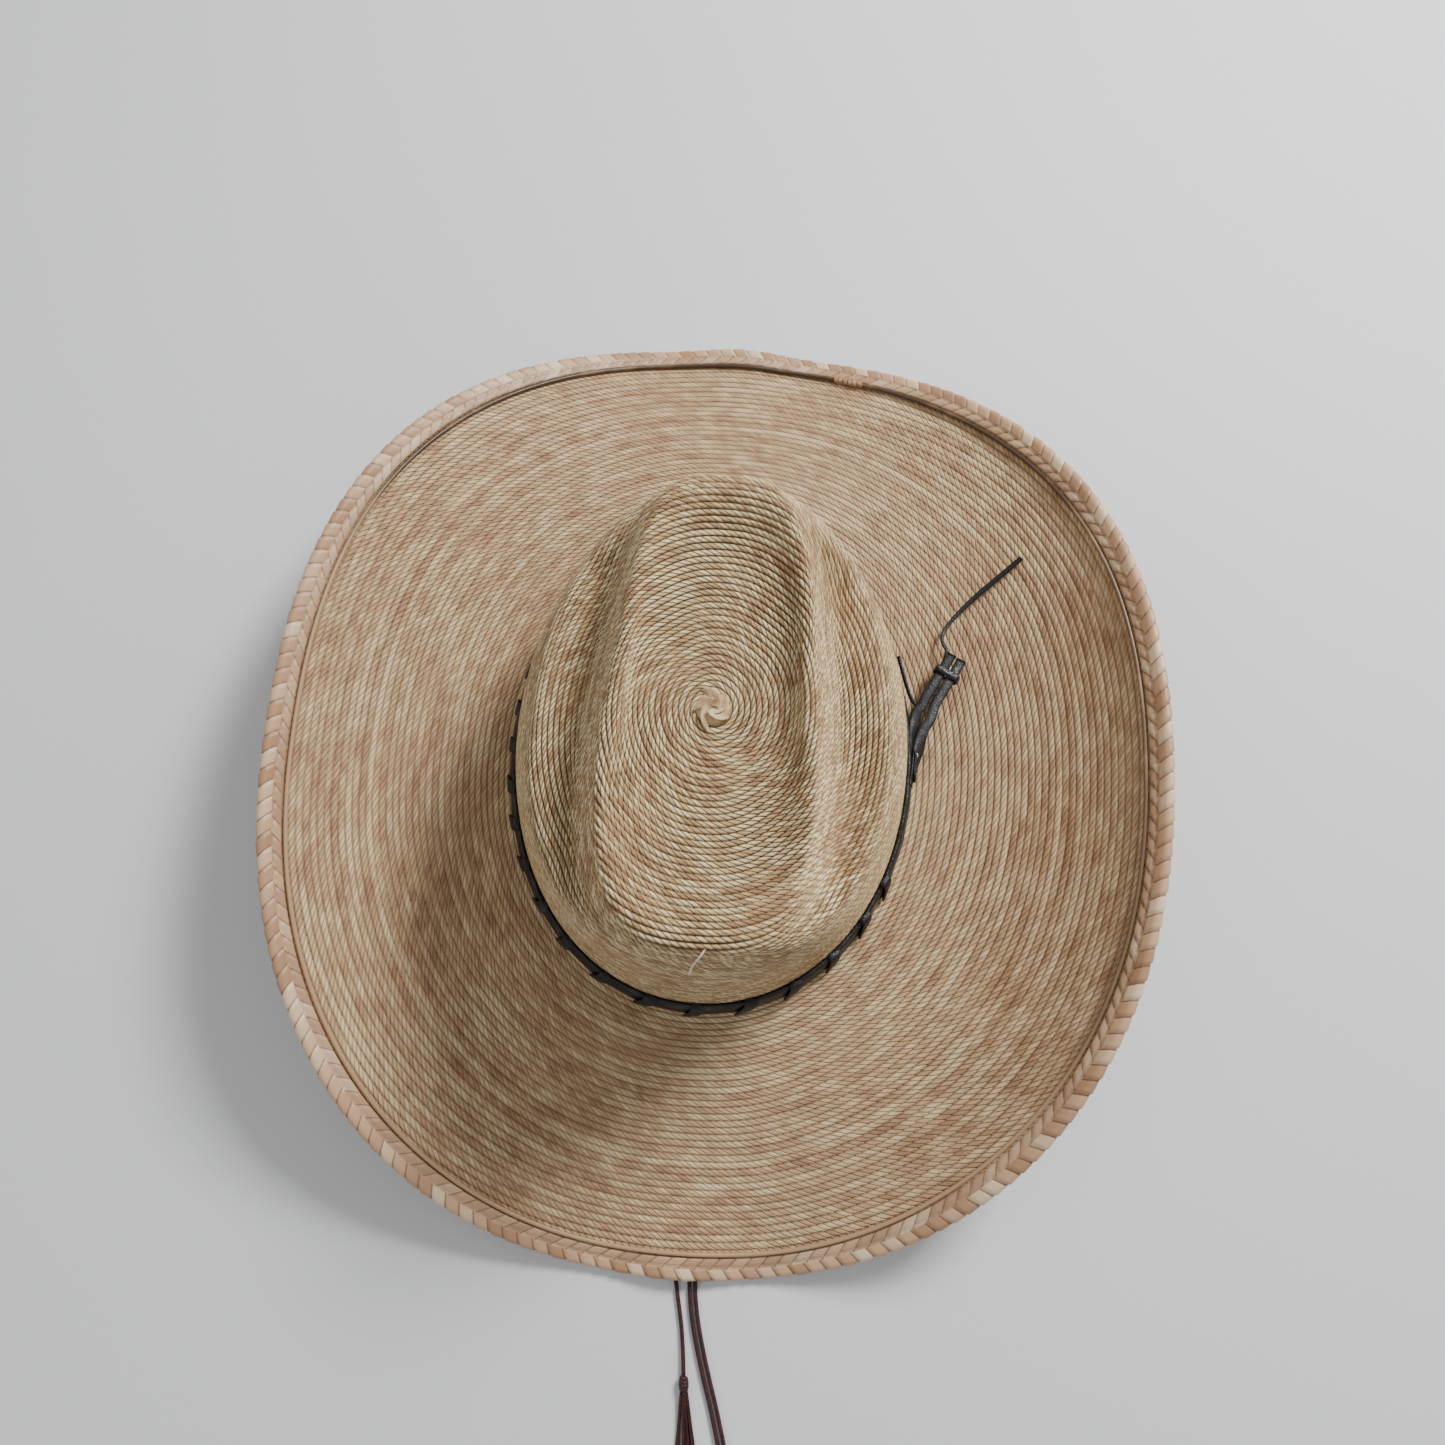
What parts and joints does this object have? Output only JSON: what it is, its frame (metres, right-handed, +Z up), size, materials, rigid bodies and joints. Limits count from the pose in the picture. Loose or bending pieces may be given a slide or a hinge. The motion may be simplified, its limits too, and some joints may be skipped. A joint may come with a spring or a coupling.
{
  "type": "palm leaf western sombrero",
  "caption": "Woven palm-leaf sombrero with a creased crown, side-curled brim with plaited wired edge, tied black leather hat band, sweatband and red chin cords.",
  "frame": {"origin": "centre of the hat's outline, without its cords, on the surface that its brim rests on", "axes": "+Z up through the crown, +Y to the front of the hat, +X to the wearer's right, where the band is tied"},
  "size_m": [0.3633, 0.5515, 0.1323],
  "materials": {
    "palm": "woven palm leaf, natural, matt with a soft sheen",
    "palm_knot": "folded palm leaf ends",
    "palm_edge": "plaited palm leaf, tan, slightly glossy",
    "wire": "dark varnished wire",
    "sweat_leather": "tan sweatband leather",
    "reed_tape": "cloth-covered reed",
    "thread": "natural thread",
    "ribbon": "black grosgrain ribbon",
    "band_leather": "black leather, semi-gloss, worn edges",
    "keeper_leather": "black polished leather loop",
    "rivet_steel": "nickel-plated rivet",
    "black_thread": "black waxed thread",
    "chin_cord": "dark red braided cord"
  },
  "bodies": {
    "hat": {"crown_weave": "palm", "crown_button": "palm_knot", "brim_weave": "palm", "edge_plait": "palm_edge", "edge_wire": "wire", "wire_splice": "palm_edge", "sweatband": "sweat_leather", "sweatband_reed": "reed_tape", "sweatband_stitches": "thread", "sweatband_seam": "sweat_leather", "sweatband_bow": "ribbon", "hat_band": "band_leather", "band_lacing": "band_leather", "band_strap_front": "band_leather", "band_strap_back": "band_leather", "band_tab": "band_leather", "band_rivet": "rivet_steel", "band_tacks": "black_thread", "band_lace": "band_leather", "chin_tab_left": "sweat_leather", "chin_tab_right": "sweat_leather", "chin_anchor_left": "chin_cord", "chin_anchor_right": "chin_cord", "chin_cord_left": "chin_cord", "chin_cord_right": "chin_cord", "chin_cord_right_return": "chin_cord", "chin_knot_left": "chin_cord", "chin_knot_right": "chin_cord", "chin_tassel_left": "chin_cord", "chin_tassel_right": "chin_cord"},
    "keeper": {"band_keeper": "keeper_leather"}
  },
  "joints": [
    {"name": "keeper_slide", "type": "slide", "parent": "hat", "child": "keeper", "axis": [0.4695, 0.8829, 0], "range_m": [-0.006, 0.006]}
  ]
}
